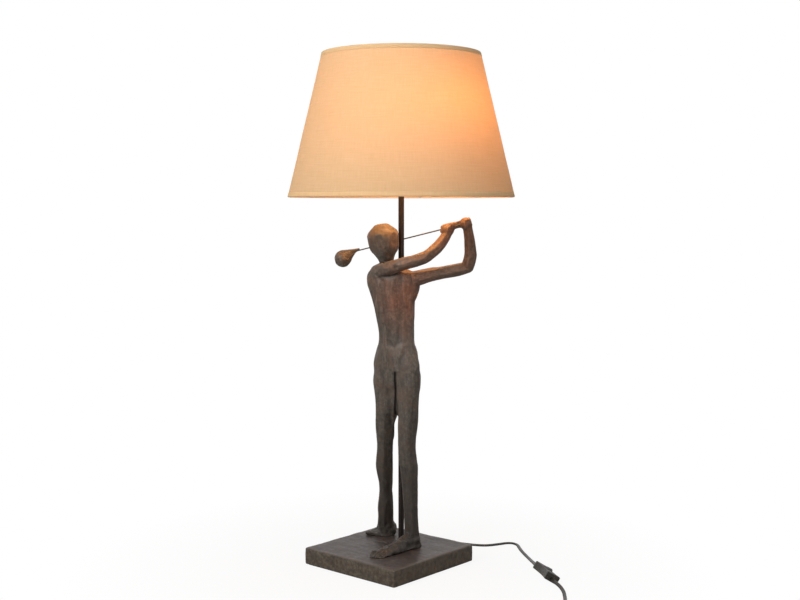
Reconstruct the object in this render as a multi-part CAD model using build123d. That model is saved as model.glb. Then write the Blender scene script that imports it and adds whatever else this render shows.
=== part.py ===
from build123d import *
import math
import os

# Figural table lamp: a carved-look resin golfer in a full swing finish stands on a square
# plinth, a steel pipe behind it carries the lampholder, the bulb and a tapered linen shade.
# Millimetres. +Z is up, the figure's feet point to -Y and its left hand side is +X.
# The origin is the centre of the plinth's underside, on the surface that the lamp stands on.

# ---------------------------------------------------------------- driving dimensions
base_side = 185.0
base_top = 27.0              # height of the plinth's top above the table
base_corner_r = 3.0
base_edge_r = 2.0
felt_t = 1.5
felt_margin = 4.0

pole_x, pole_y = -14.0, 44.0  # axis of the pipe, the lampholder, the bulb and the shade
pole_d = 9.0
pole_wall = 1.0
pole_fit = 0.15              # between the pipe and the holes it passes through
pocket_d = 62.0              # recess under the plinth for the nut and the cord
pocket_top = 19.5
channel_w = 9.0              # run of the cord from the recess to the back
outlet_wall = 6.5            # plinth wall that the cord's outlet is bored through
washer_d, washer_t = 26.0, 1.5
nut_af, nut_t = 14.0, 4.0
pole_foot = 13.5             # lower end of the pipe

shade_bottom_z = 566.0
shade_h = 219.0
shade_bottom_r = 175.0
shade_top_r = 122.0
shade_t = 1.0
ring_wire_d = 3.0
trim_t = 0.5
trim_w = 7.0

holder_z = 588.0             # lower end of the lampholder's neck
neck_len, neck_r = 14.0, 8.0
cap_h, cap_r = 16.0, 19.0
skirt_h, skirt_r = 42.0, 20.0
holder_wall = 2.2
seat_h, seat_r, seat_t = 9.0, 24.0, 3.0   # shoulder that the shade's hub sits on
thread_r_in, thread_t = 13.6, 0.6          # brass screw shell of the lampholder
hub_r_out, hub_t, hub_fit = 27.0, 2.5, 0.4
arm_wire_d = 3.0
arm_count = 3
ring_weld = 60.0             # where each rim wire's ends are welded, half way between two arms
clamp_h, clamp_t = 9.0, 3.5

bulb_cap_r, bulb_cap_len = 13.2, 24.0
bulb_globe_r, bulb_len = 30.0, 107.0
bulb_gap = 0.3

shaft_d = 2.0
shaft_fit = 0.1

cord_d = 5.4
cord_z = cord_d / 2          # centre line of a cord that lies on the table
inner_cord_d = 5.0
exit_z = 7.0
relief_len = 20.0
relief_fit = 0.15
entry_fit = 0.05             # between the cord and the holes in the switch's ends

switch_len, switch_h = 55.0, 12.2
switch_end_w, switch_waist_w = 21.6, 13.4
switch_end_flat = 3.0        # straight part of the outline at each end
switch_wall, switch_end_wall, switch_chamfer = 2.0, 5.0, 1.0
switch_slot_w = 9.2
switch_part_z = -2.0         # parting line, cord axis and rocker pivot below half height
switch_x, switch_y = 230.9, 90.6
switch_turn, switch_roll = -36.9, 31.6    # it lies on one edge, held up by the stiff cord
screw_places = [(-20.0, 7.0), (20.0, -7.0)]
screw_r, screw_head_r, screw_head_h, screw_len = 1.0, 1.7, 1.6, 8.0
terminal_x, terminal_size = 17.0, (9.0, 7.0, 5.0)
rocker_r, rocker_w, rocker_valley = 11.5, 8.4, 9.4
rocker_swing = 12.0          # tilt to each side of level
rocker_low = 0.5             # underside of the drum slice above the pivot
rocker_fit = 0.3
stub_r, stub_len = 1.5, 1.6
stub_fit = 0.05

plug_len, plug_w, plug_h = 36.0, 35.3, 13.7
pin_d, pin_len, pin_pitch = 4.0, 19.0, 18.6

coil_half_turns = 5          # half turns in the lower layer, and one more in the upper
coil_pitch = 6.0             # between neighbouring turns and between the layers
coil_inner_r = 22.5
coil_x, coil_y = 389.5, -14.5
coil_turn = 35.0             # of the line through the ends of all half turns, from +X

pole_r = pole_d / 2
shade_top_z = shade_bottom_z + shade_h
pole_top = holder_z + neck_len - 2.0
cap_top = holder_z + neck_len + cap_h
skirt_top = cap_top + skirt_h
hub_z = cap_top + seat_h + seat_t
os.makedirs("parts", exist_ok=True)


# ---------------------------------------------------------------- helpers
def save(shape, node):
    export_step(shape, f"parts/{node}.step")


def on_pole(shape):
    return Pos(pole_x, pole_y, 0) * shape


def ring(r_out, r_in, low, high):
    """Plain collar about the lamp's axis, from one height to another."""
    body = Cylinder(r_out, high - low) - Cylinder(r_in, high - low)
    return on_pole(Pos(0, 0, (low + high) / 2) * body)


def disc(r, low, high):
    return on_pole(Pos(0, 0, (low + high) / 2) * Cylinder(r, high - low))


def turned(points):
    """Closed profile of (radius, height) points turned about the lamp's axis."""
    profile = make_face(Plane.XZ * Polyline(*points, close=True))
    return on_pole(revolve(profile, Axis.Z))


def oval(x, y, z, long_half, short_half, turn):
    """Level ellipse whose long axis is turned from +X about the vertical."""
    level = Plane(origin=(x, y, z), x_dir=Vector(1, 0, 0).rotate(Axis.Z, turn), z_dir=(0, 0, 1))
    return level * Ellipse(long_half, short_half)


def limb(line, seam):
    """Round limb through (point, radius) pairs, its sections' first point facing one way."""
    sections = []
    for i, (point, r) in enumerate(line):
        before, after = Vector(line[max(i - 1, 0)][0]), Vector(line[min(i + 1, len(line) - 1)][0])
        across = Plane(origin=point, x_dir=seam, z_dir=after - before)
        sections.append(across * Circle(r))
    return loft(sections)


def ball(point, r):
    return Pos(*point) * Sphere(r)


# ---------------------------------------------------------------- plinth
def plinth():
    block_h = base_top - felt_t
    block = Pos(0, 0, felt_t + block_h / 2) * Box(base_side, base_side, block_h)
    block = fillet(block.edges().filter_by(Axis.Z), base_corner_r)
    block = fillet(block.faces().sort_by(Axis.Z)[-1].edges(), base_edge_r)
    wall_y = base_side / 2 - outlet_wall
    channel_h = exit_z + channel_w / 2 - felt_t
    channel = Box(channel_w, wall_y - pole_y, channel_h)
    channel = Pos(pole_x, (pole_y + wall_y) / 2, felt_t + channel_h / 2) * channel
    outlet = Pos(pole_x, base_side / 2, exit_z) * Rot(90, 0, 0) * Cylinder(channel_w / 2, 4 * outlet_wall)
    return block - disc(pocket_d / 2, 0, pocket_top) - channel - outlet - disc(pole_r + pole_fit, 0, 2 * base_top)


def felt():
    side = base_side - 2 * felt_margin
    sheet = Pos(0, 0, felt_t / 2) * Box(side, side, felt_t)
    return fillet(sheet.edges().filter_by(Axis.Z), base_corner_r)


def pole_washer():
    return ring(washer_d / 2, pole_r + pole_fit, pocket_top - washer_t, pocket_top)


def pole_nut():
    low = pocket_top - washer_t - nut_t
    hexagon = extrude(RegularPolygon(nut_af / 2, 6, major_radius=False), nut_t)
    return on_pole(Pos(0, 0, low) * hexagon) - disc(pole_r + pole_fit, 0, base_top)


# ---------------------------------------------------------------- golfer
# Torso: level ovals from the crotch to the neck, as height, x, y, half width, half depth and
# the twist of the body towards its left side.
torso_ovals = [
    (255, -6.5, 25.0, 20.0, 7.5, 0),
    (264, -6.5, 25.0, 33.0, 12.0, 0),
    (278, -6.5, 25.0, 40.0, 16.0, 0),
    (292, -6.5, 25.0, 43.5, 18.7, 0),
    (306, -6.5, 25.0, 43.5, 20.0, 3),
    (329, -6.5, 24.5, 35.5, 18.0, 7),
    (353, -6.5, 24.0, 30.0, 16.0, 12),
    (376, -8.0, 23.0, 31.5, 16.5, 16),
    (407, -10.0, 22.0, 35.0, 18.0, 22),
    (424, -10.0, 22.0, 40.5, 18.0, 24),
    (438, -10.5, 22.0, 43.0, 17.5, 25),
    (449, -12.0, 21.0, 38.0, 15.0, 25),
    (457, -16.0, 19.0, 24.0, 12.5, 25),
    (462, -19.0, 17.0, 13.0, 11.5, 25),
]
# Legs: centre line points from the hip to the ankle, and the radius at each.
left_leg = [((15.5, 26.0, 324), 11.0), ((16.6, 26.5, 304), 15.4),
            ((17.5, 27.0, 282), 17.8), ((16.9, 26.3, 262), 16.9),
            ((17.1, 24.9, 240), 16.1), ((17.7, 23.7, 222), 15.2), ((17.4, 22.2, 209), 14.9),
            ((17.9, 20.4, 186), 13.4), ((18.8, 19.8, 171), 13.7), ((21.0, 20.3, 155), 14.1),
            ((23.4, 20.5, 132), 12.4), ((24.5, 20.2, 116), 11.8), ((25.9, 19.4, 100), 11.1),
            ((27.4, 18.8, 85), 10.5), ((28.5, 18.4, 69), 10.4), ((29.5, 18.6, 48), 11.4),
            ((31.0, 19.0, 27), 12.4)]
right_leg = [((-28.0, 25.2, 324), 11.5), ((-29.3, 25.3, 304), 16.2),
             ((-30.1, 25.2, 282), 19.3), ((-29.8, 25.9, 262), 18.6),
             ((-30.0, 27.3, 240), 17.4), ((-31.5, 26.6, 226), 15.9), ((-32.8, 26.8, 212), 14.7),
             ((-33.7, 28.9, 196), 14.1), ((-36.1, 30.7, 172), 12.1), ((-38.4, 32.8, 156), 13.1),
             ((-40.7, 34.8, 140), 13.2), ((-41.4, 38.1, 116), 10.6), ((-42.7, 39.6, 100), 9.7),
             ((-44.7, 41.9, 83), 11.4), ((-46.3, 43.2, 67), 12.4), ((-47.6, 44.7, 50), 12.7),
             ((-48.4, 45.5, 27), 13.6)]
# Feet: a heel point and a toe point on the plinth, then distance from the heel, half width
# and height of each cross section. The right leg stands on its toes, its foot upright above them.
left_foot = ((31.0, 33.0), (25.0, -63.0))
left_foot_sections = [(0.0, 6.0, 8.0), (0.08, 10.5, 18.0), (0.25, 11.5, 24.0), (0.45, 11.5, 17.0),
                      (0.65, 13.0, 11.5), (0.85, 14.0, 8.5), (0.95, 12.5, 6.5), (1.0, 8.0, 4.0)]
right_toes = ((-38.0, 52.0), (-74.0, 30.0))
right_toe_sections = [(0.0, 9.0, 9.5), (0.35, 12.5, 17.0), (0.6, 12.0, 11.0), (0.85, 10.5, 6.0), (1.0, 6.5, 3.0)]
# Head: an egg on the neck, as distance along its own axis and radius.
neck_root = (452, -17.5, 18.0, 12.0, 11.0, 25)   # level oval between the shoulders, as the torso's
neck_seat = (-19.5, 16.5, 463.0)
head_axis = (-0.11, -0.085, 1.0)
neck_r_top = 10.3
head_profile = [(6.0, 12.0), (18.0, 18.6), (30.0, 23.2), (40.0, 24.4), (50.0, 21.6), (58.0, 13.5)]
head_len = 62.0
# Arms: both start inside the shoulders and end in one joined grip.
right_arm_line = [((-36.0, 9.5, 444.0), 12.0), ((-12.0, 6.4, 455.5), 10.4), ((15.1, 8.0, 463.1), 9.6),
                  ((35.6, 16.7, 469.2), 9.4), ((51.0, 28.9, 477.0), 9.2), ((59.8, 41.9, 489.2), 8.4),
                  ((65.1, 53.5, 503.0), 7.4), ((65.6, 57.6, 509.8), 7.2)]
right_fist = (65.0, 59.6, 515.3)
left_upper_arm = [((18.0, 34.0, 439.0), 13.5), ((36.1, 48.1, 446.0), 10.5), ((51.7, 60.4, 450.0), 9.6),
                  ((69.1, 74.0, 453.8), 9.4), ((84.0, 84.8, 459.5), 9.2)]
left_forearm = [((84.0, 84.8, 459.5), 9.0), ((89.6, 84.4, 470.0), 9.3), ((91.3, 84.0, 482.0), 8.9),
                ((93.1, 79.2, 500.3), 7.9), ((94.5, 74.6, 513.0), 7.2), ((94.2, 72.2, 519.0), 7.0)]
elbow_r = 9.8
left_fist = (93.5, 69.5, 525.2)
fist_r = 9.9
# Thumbs and fingers that bridge the two fists along the wire.
grip_line = [((57.5, 56.0, 514.5), 6.2), ((67.0, 60.5, 519.5), 6.6), ((77.3, 65.2, 522.6), 5.6),
             ((86.0, 67.5, 524.5), 5.6)]
# Crease between the thighs, from its upper end to the fork, and its half width at the two.
crease_line = [((-4.5, 8.0, 302.0), 1.5), ((-3.5, 15.0, 236.0), 4.5)]
crease_turn = 25.0           # towards the left hand side, like the torso
crease_reach = 30.0          # of the cutting wedge, out through the front of the thighs
crease_flare = 3.0           # how much wider the wedge is there
# The club's shaft is one straight wire through both fists, close behind the pipe.
shaft_grip_end = (100.5, 64.6, 526.5)
shaft_head_end = (-99.5, 39.1, 481.2)
club_line = [((-98.6, 39.8, 483.2), 2.4), ((-104.1, 35.0, 480.4), 3.4), ((-109.3, 30.5, 476.6), 6.6),
             ((-114.3, 26.1, 472.1), 10.8), ((-118.7, 22.2, 467.9), 13.1)]
club_ball_r = 13.3
club_socket = 4.0            # of the wire inside the club's head


def foot(heel_toe, profile):
    heel, toe = Vector(*heel_toe[0], base_top), Vector(*heel_toe[1], base_top)
    sections = []
    for share, half_w, height in profile:
        across = Plane(origin=heel + (toe - heel) * share, x_dir=(0, 0, 1), z_dir=toe - heel)
        if height >= half_w:
            sections.append(across * Ellipse(height, half_w))
        else:
            sections.append(across * Rot(0, 0, 90) * Ellipse(half_w, height))
    return loft(sections)


def egg():
    """Head in its own frame, neck at the origin, crown on +Z."""
    rim = Spline((neck_r_top, 0), *[(r, along) for along, r in head_profile], (0, head_len),
                 tangents=((0.35, 1), (-1, 0)))
    outline = make_face(Plane.XZ * (rim + Polyline((0, head_len), (0, 0), (neck_r_top, 0))))
    return revolve(outline, Axis.Z)


def shaft(r):
    start, end = Vector(*shaft_grip_end), Vector(*shaft_head_end)
    run = end - start
    return extrude(Plane(origin=start, z_dir=run) * Circle(r), run.length + club_socket)


def club():
    """Club head, a bent pear that ends in a ball, on the wire's end."""
    return limb(club_line, (0, 0, 1)) + ball(club_line[-1][0], club_ball_r) - shaft(shaft_d / 2)


def torso():
    return loft([oval(x, y, z, half_w, half_d, turn)
                 for z, x, y, half_w, half_d, turn in torso_ovals])


def crease():
    """Wedge with its edge inside the body, wider towards the fork."""
    sections = []
    for (x, y, z), half_w in crease_line:
        level = Plane(origin=(x, y, z), z_dir=(0, 0, 1)).rotated((0, 0, crease_turn))
        flare = crease_flare * half_w
        wedge = Polyline((-flare, -crease_reach), (flare, -crease_reach), (0, half_w), close=True)
        sections.append(level * wedge)
    return loft([make_face(section) for section in sections])


def figure():
    """The casting's four parts, each cut to the one that it is glued to."""
    top = Plane(origin=neck_seat, z_dir=head_axis)
    root_z, root_x, root_y, root_w, root_d, root_turn = neck_root
    neck = loft([oval(root_x, root_y, root_z, root_w, root_d, root_turn), top * Circle(neck_r_top)])
    legs = limb(left_leg, (0, 1, 0)) + limb(right_leg, (0, 1, 0))
    feet = foot(left_foot, left_foot_sections) + foot(right_toes, right_toe_sections)
    body = torso() + neck + legs + feet
    under = Pos(0, 0, base_top - base_side) * Box(2 * base_side, 2 * base_side, 2 * base_side)
    channel = on_pole(Pos(0, 0, shade_bottom_z / 2) * Cylinder(pole_r + 2 * pole_fit, shade_bottom_z))
    body = body - under - channel - crease()
    head = top * egg() - body
    bore = shaft(shaft_d / 2 + shaft_fit)
    right_arm = limb(right_arm_line, (0, 0, 1)) + ball(right_fist, fist_r) + limb(grip_line, (0, 0, 1))
    right_arm = right_arm - body - head - bore
    left_arm = limb(left_upper_arm, (0, 0, 1)) + ball(left_upper_arm[-1][0], elbow_r)
    left_arm = left_arm + limb(left_forearm, (1, 0, 0)) + ball(left_fist, fist_r)
    left_arm = left_arm - body - right_arm - bore
    return body, head, right_arm, left_arm


# ---------------------------------------------------------------- pipe and lampholder
def pole():
    return ring(pole_r, pole_r - pole_wall, pole_foot, pole_top)


def holder_cap():
    low, neck_top = holder_z, holder_z + neck_len
    inner = cap_r - holder_wall
    return turned([(pole_r + pole_fit, low), (neck_r, low), (neck_r, neck_top), (cap_r - 3, neck_top + 3),
                   (cap_r, neck_top + 7), (cap_r, cap_top), (inner, cap_top), (inner, neck_top + 8),
                   (inner - 3, neck_top + 5), (neck_r - 2, neck_top + 2), (pole_r + pole_fit, neck_top)])


def holder_skirt():
    inner = skirt_r - holder_wall
    return turned([(inner, cap_top), (skirt_r, cap_top), (skirt_r, cap_top + seat_h),
                   (seat_r, cap_top + seat_h), (seat_r, hub_z), (skirt_r, hub_z), (skirt_r, skirt_top),
                   (inner, skirt_top)])


def holder_core():
    """Ceramic block inside the cap and the skirt, with a well for the cord's end."""
    r = cap_r - holder_wall - 0.1
    low, high = holder_z + neck_len + 8, cap_top + seat_h
    return turned([(0, low + 5), (4, low + 5), (4, low), (r, low), (r, high), (0, high)])


def holder_contacts():
    """Brass screw shell and the centre tongue, both standing on the core."""
    floor = cap_top + seat_h
    shell = ring(thread_r_in + thread_t, thread_r_in, floor, skirt_top - 4)
    tongue = on_pole(Pos(0, 0, floor + 0.75) * Box(11, 5, 1.5))
    return Compound(children=[*shell.solids(), *tongue.solids()])


def clamp_ring():
    inner = skirt_r + 0.1
    low = hub_z + hub_t
    return turned([(inner, low), (seat_r + clamp_t, low), (seat_r + clamp_t, low + 3),
                   (inner + clamp_t, low + clamp_h), (inner, low + clamp_h)])


# ---------------------------------------------------------------- bulb
bulb_z = cap_top + seat_h + 1.5 + bulb_gap       # tip of the bulb's centre contact


def bulb_contact():
    return turned([(0, bulb_z), (3.5, bulb_z), (4.8, bulb_z + 1.2), (9.5, bulb_z + 3.5), (0, bulb_z + 3.5)])


def bulb_cap():
    low = bulb_z + 3.5
    return turned([(0, low), (9.5, low), (bulb_cap_r, low + 3), (bulb_cap_r, low + bulb_cap_len),
                   (0, low + bulb_cap_len)])


def bulb_glass():
    low, top = bulb_z + 3.5 + bulb_cap_len, bulb_z + bulb_len
    centre = top - bulb_globe_r
    rim = Spline((bulb_cap_r - 0.6, low), (15.5, low + 10), (bulb_globe_r - 3.2, centre - 14),
                 (bulb_globe_r, centre), tangents=((0.05, 1), (0, 1)))
    crown = RadiusArc((bulb_globe_r, centre), (0, top), -bulb_globe_r)
    if crown.center().X < bulb_globe_r / 2:
        crown = RadiusArc((bulb_globe_r, centre), (0, top), bulb_globe_r)
    outline = make_face(Plane.XZ * (rim + crown + Polyline((0, top), (0, low), (bulb_cap_r - 0.6, low))))
    return on_pole(revolve(outline, Axis.Z))


# ---------------------------------------------------------------- shade
slope_len = math.hypot(shade_bottom_r - shade_top_r, shade_h)
slope_in = (shade_bottom_r - shade_top_r) / slope_len
slope_up = shade_h / slope_len


def on_slope(along, depth):
    """Point of the shade's wall: along it from the bottom edge, and inwards from its outside."""
    return (shade_bottom_r - slope_in * along - slope_up * depth,
            shade_bottom_z + slope_up * along - slope_in * depth)


def shade_band(along_low, along_high, depth_out, depth_in):
    return turned([on_slope(along_low, depth_out), on_slope(along_high, depth_out),
                   on_slope(along_high, depth_in), on_slope(along_low, depth_in)])


def wire_ring(along):
    r, z = on_slope(along, shade_t + ring_wire_d / 2)
    return on_pole(Pos(0, 0, z) * Rot(0, 0, ring_weld) * Torus(r, ring_wire_d / 2))


def rim_trim(edge, inwards):
    """Folded tape round one edge of the shade: down its outside and over the wire ring."""
    outside = sorted([edge - inwards * trim_t, edge + inwards * trim_w])
    over = sorted([edge - inwards * trim_t, edge])
    return shade_band(*outside, -trim_t, 0) + shade_band(*over, 0, shade_t + ring_wire_d)


def shade_hub():
    return ring(hub_r_out, skirt_r + hub_fit, hub_z, hub_z + hub_t)


def shade_arms():
    """Wires from the hub down to the bottom ring, soldered to both."""
    ring_r, ring_z = on_slope(ring_wire_d / 2, shade_t + ring_wire_d / 2)
    inner_end = Vector(hub_r_out - arm_wire_d / 2, 0, hub_z + hub_t - arm_wire_d / 2 - 0.1)
    outer_end = Vector(ring_r, 0, ring_z)
    run = outer_end - inner_end
    arm = extrude(Plane(origin=inner_end, z_dir=run) * Circle(arm_wire_d / 2), run.length)
    arms = []
    for i in range(arm_count):
        placed = on_pole(Rot(0, 0, 360 * i / arm_count) * arm)
        arms.append((placed - shade_hub() - wire_ring(ring_wire_d / 2)).solids().sort_by(SortBy.VOLUME)[-1])
    return Compound(children=arms)


# ---------------------------------------------------------------- cord
def tube(points, d, name):
    """Round tube along straight runs joined by arcs as large as the runs allow."""
    corners = [Vector(*p) for p in points]
    radii = []
    for before, here, after in zip(corners, corners[1:], corners[2:]):
        half_turn = math.radians((here - before).get_angle(after - here)) / 2
        radii.append(0.45 * min((here - before).length, (after - here).length) / math.tan(half_turn))
    path = FilletPolyline(*corners, radius=radii) if len(radii) > 1 else FilletPolyline(*corners, radius=radii[0])
    body = sweep(Plane(origin=corners[0], z_dir=corners[1] - corners[0]) * Circle(d / 2), path=path)
    share = body.volume / (math.pi * d * d / 4 * path.length)
    print(name, "length", round(path.length, 1), "volume share", round(share, 4),
          "radii", [round(r) for r in radii])
    return body


def at_switch(shape):
    drop = (switch_end_w / 2 - switch_chamfer) * math.sin(math.radians(switch_roll)) \
        + switch_h / 2 * math.cos(math.radians(switch_roll))
    return Pos(switch_x, switch_y, drop) * Rot(0, 0, switch_turn) * Rot(-switch_roll, 0, 0) * shape


def cord_at_switch(along):
    """Point of the cord's axis in the switch, measured from its middle towards the plug."""
    return at_switch(Pos(along, 0, switch_part_z) * Vertex(0, 0, 0)).center()


relief_tip = (pole_x, base_side / 2 + relief_len, exit_z)
half_switch = switch_len / 2
coil_line = Vector(1, 0, 0).rotate(Axis.Z, coil_turn)
coil_way = Vector(coil_line.Y, -coil_line.X, 0)
coil_outer_r = coil_inner_r + (coil_half_turns + 1) * coil_pitch / 2
coil_in = Vector(coil_x, coil_y, cord_z) - coil_line * coil_outer_r
coil_out = coil_in + Vector(0, 0, coil_pitch)
plug_rear = (404.5, -77.5, plug_h / 2)
plug_way = Vector(0.87, -0.49, 0).normalized()

lead_route = [relief_tip, (pole_x, 121.0, exit_z), (-10.5, 134.0, 4.4), (1.0, 147.0, cord_z),
              (19.0, 155.0, cord_z), (40.0, 161.0, cord_z), (58.0, 171.5, cord_z), (67.5, 190.0, cord_z),
              (76.0, 210.0, cord_z), (91.5, 210.5, cord_z), (107.0, 195.0, cord_z), (124.0, 179.8, cord_z),
              (142.0, 165.5, cord_z), (160.0, 149.5, 3.9), (179.0, 131.5, 6.4),
              tuple(cord_at_switch(-half_switch - 12)), tuple(cord_at_switch(switch_end_wall - half_switch))]
tail_route = [tuple(cord_at_switch(half_switch - switch_end_wall)), tuple(cord_at_switch(half_switch + 8)),
              (274.0, 61.5, 6.6), (288.0, 51.0, 4.2), (299.0, 37.5, cord_z), (308.5, 24.5, cord_z),
              (318.0, 9.5, cord_z), (328.5, -7.5, cord_z), tuple(coil_in - coil_way * (cord_d + 14)),
              tuple(coil_in - coil_way * cord_d)]
end_route = [tuple(coil_out + coil_way * cord_d), tuple(coil_out + coil_way * 3 * cord_d),
             tuple(Vector(*plug_rear) - plug_way * 16), plug_rear]
inner_route = [relief_tip, (pole_x, pole_y, exit_z), (pole_x, pole_y, holder_z + neck_len + 13)]


def coil():
    """Two piled layers of half turns: spiral in, climb in the tightest one, spiral out."""
    radii = [coil_outer_r - coil_pitch / 2 * (i + 1) for i in range(coil_half_turns + 1)]
    radii += [coil_inner_r + coil_pitch / 2 * (i + 1) for i in range(coil_half_turns + 1)]
    here, side, arcs = coil_in, 1, [Line(coil_in - coil_way * cord_d, coil_in)]
    samples = []
    for i, r in enumerate(radii):
        rise = Vector(0, 0, coil_pitch if i == coil_half_turns else 0)
        there = here + coil_line * (2 * r * side) + rise
        crest = (here + there) * 0.5 + coil_way * (math.hypot(2 * r, rise.Z) / 2 * side)
        arc = ThreePointArc(here, crest, there)
        samples += [arc @ (k / 24) for k in range(24)]
        arcs.append(arc)
        here, side = there, -side
    arcs.append(Line(here, here + coil_way * cord_d))
    least = min((a - b).length for i, a in enumerate(samples) for b in samples[i + 20:])
    path = Wire(arcs)
    body = sweep(Plane(origin=coil_in - coil_way * cord_d, z_dir=coil_way) * Circle(cord_d / 2), path=path)
    share = body.volume / (math.pi * cord_d * cord_d / 4 * path.length)
    print("coil length", round(path.length, 1), "volume share", round(share, 4),
          "least gap between turns", round(least - cord_d, 2))
    return body


def inner_cord():
    """Cord inside the lamp: through the plinth's back, up the pipe, into the lampholder."""
    bend = pole_foot - exit_z - 0.5
    path = FilletPolyline(*inner_route, radius=bend)
    return sweep(Plane(origin=relief_tip, z_dir=(0, -1, 0)) * Circle(inner_cord_d / 2), path=path)


def strain_relief():
    """Flanged sleeve in the plinth's outlet that tapers along the cord."""
    root_r, tip_r, bore = channel_w / 2 - relief_fit, inner_cord_d / 2 + 1.2, inner_cord_d / 2 + relief_fit
    profile = [(bore, -outlet_wall), (root_r, -outlet_wall), (root_r, 0), (root_r + 1.5, 0),
               (root_r + 1.5, 2), (root_r, 2), (tip_r, relief_len), (bore, relief_len)]
    sleeve = revolve(make_face(Plane.XZ * Polyline(*profile, close=True)), Axis.Z)
    return Pos(pole_x, base_side / 2, exit_z) * Rot(-90, 0, 0) * sleeve


# ---------------------------------------------------------------- inline switch
def switch_block(low, high):
    """Hourglass outline, drawn in beside the rocker, as a block."""
    half, end_w, waist_w = switch_len / 2, switch_end_w / 2, switch_waist_w / 2
    bend = half - switch_end_flat
    outline = ThreePointArc((-bend, end_w), (0, waist_w), (bend, end_w))
    outline += Polyline((bend, end_w), (half, end_w), (half, -end_w), (bend, -end_w))
    outline += ThreePointArc((bend, -end_w), (0, -waist_w), (-bend, -end_w))
    outline += Polyline((-bend, -end_w), (-half, -end_w), (-half, end_w), (-bend, end_w))
    return Pos(0, 0, low) * extrude(make_face(outline), high - low)


def switch_hollow():
    """Inner slot, the cord's way through both ends and the rocker's two bearings."""
    slot = Box(switch_len - 2 * switch_end_wall, switch_slot_w, switch_h - 2 * switch_wall)
    cord_way = Rot(0, 90, 0) * Cylinder(cord_d / 2 + entry_fit, 2 * switch_len)
    bearing = Rot(90, 0, 0) * Cylinder(stub_r + stub_fit, rocker_w + 2 * stub_len + 2 * rocker_fit)
    window = Rot(90, 0, 0) * Cylinder(rocker_r + rocker_fit, rocker_w + 2 * rocker_fit)
    window -= Pos(0, 0, -rocker_r) * Box(4 * rocker_r, 2 * rocker_w, 2 * rocker_r)
    return slot + Pos(0, 0, switch_part_z) * (cord_way + bearing + window)


def switch_shells():
    top, hollow = switch_h / 2, switch_hollow()
    upper = switch_block(switch_part_z, top)
    upper = chamfer(upper.faces().sort_by(Axis.Z)[-1].edges(), switch_chamfer) - hollow
    lower = switch_block(-top, switch_part_z)
    lower = chamfer(lower.faces().sort_by(Axis.Z)[0].edges(), switch_chamfer) - hollow
    for x, y in screw_places:
        well = Pos(x, y, -top) * (Cylinder(screw_head_r + entry_fit, 2 * screw_head_h)
                                  + Cylinder(screw_r + entry_fit, 2 * screw_len))
        upper, lower = upper - well, lower - well
    return at_switch(upper), at_switch(lower)


def switch_rocker():
    """Slice of a round drum on two stubs, its top pressed in as a shallow valley."""
    side = 2 * rocker_r
    drum = Rot(90, 0, 0) * Cylinder(rocker_r, rocker_w)
    for way in (-1, 1):
        above = Pos(way * side / 2, 0, side / 2) * Box(side, side, side)
        drum -= Pos(0, 0, rocker_valley) * Rot(0, -way * rocker_swing, 0) * above
    drum -= Pos(0, 0, rocker_low - side / 2) * Box(2 * side, side, side)
    drum += Rot(90, 0, 0) * Cylinder(stub_r, rocker_w + 2 * stub_len)
    return at_switch(Pos(0, 0, switch_part_z) * Rot(0, -rocker_swing, 0) * drum)


def screw():
    """Countersunk into the lower shell, its head a little below the surface."""
    head = Pos(0, 0, screw_head_h / 2) * Cylinder(screw_head_r, screw_head_h - 2 * rocker_fit)
    return head + Pos(0, 0, screw_len / 2) * Cylinder(screw_r, screw_len - 2 * rocker_fit)


def switch_screws():
    return Compound(children=[at_switch(Pos(x, y, -switch_h / 2) * screw()).solid() for x, y in screw_places])


def switch_terminals():
    floor = switch_wall - switch_h / 2
    blocks = [at_switch(Pos(side * terminal_x, 0, floor + terminal_size[2] / 2) * Box(*terminal_size))
              for side in (-1, 1)]
    return Compound(children=[block.solid() for block in blocks])


# ---------------------------------------------------------------- plug
def along_plug(distance):
    return Plane(origin=Vector(*plug_rear) + plug_way * distance, x_dir=(-plug_way.Y, plug_way.X, 0), z_dir=plug_way)


def plug_body():
    sections = [(0, 10.0, 9.0), (12, 14.0, 12.0), (24, 30.0, plug_h), (plug_len, plug_w, plug_h)]
    return loft([along_plug(d) * RectangleRounded(w, h, 3.5) for d, w, h in sections], ruled=True)


def plug_pins():
    face = along_plug(plug_len)
    pins = [extrude(face * Pos(side * pin_pitch / 2, 0) * Circle(pin_d / 2), pin_len) for side in (-1, 1)]
    return Compound(children=[fillet(pin.faces().sort_by(Axis(plug_rear, plug_way))[-1].edges(), 1.5).solid()
                              for pin in pins])


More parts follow.
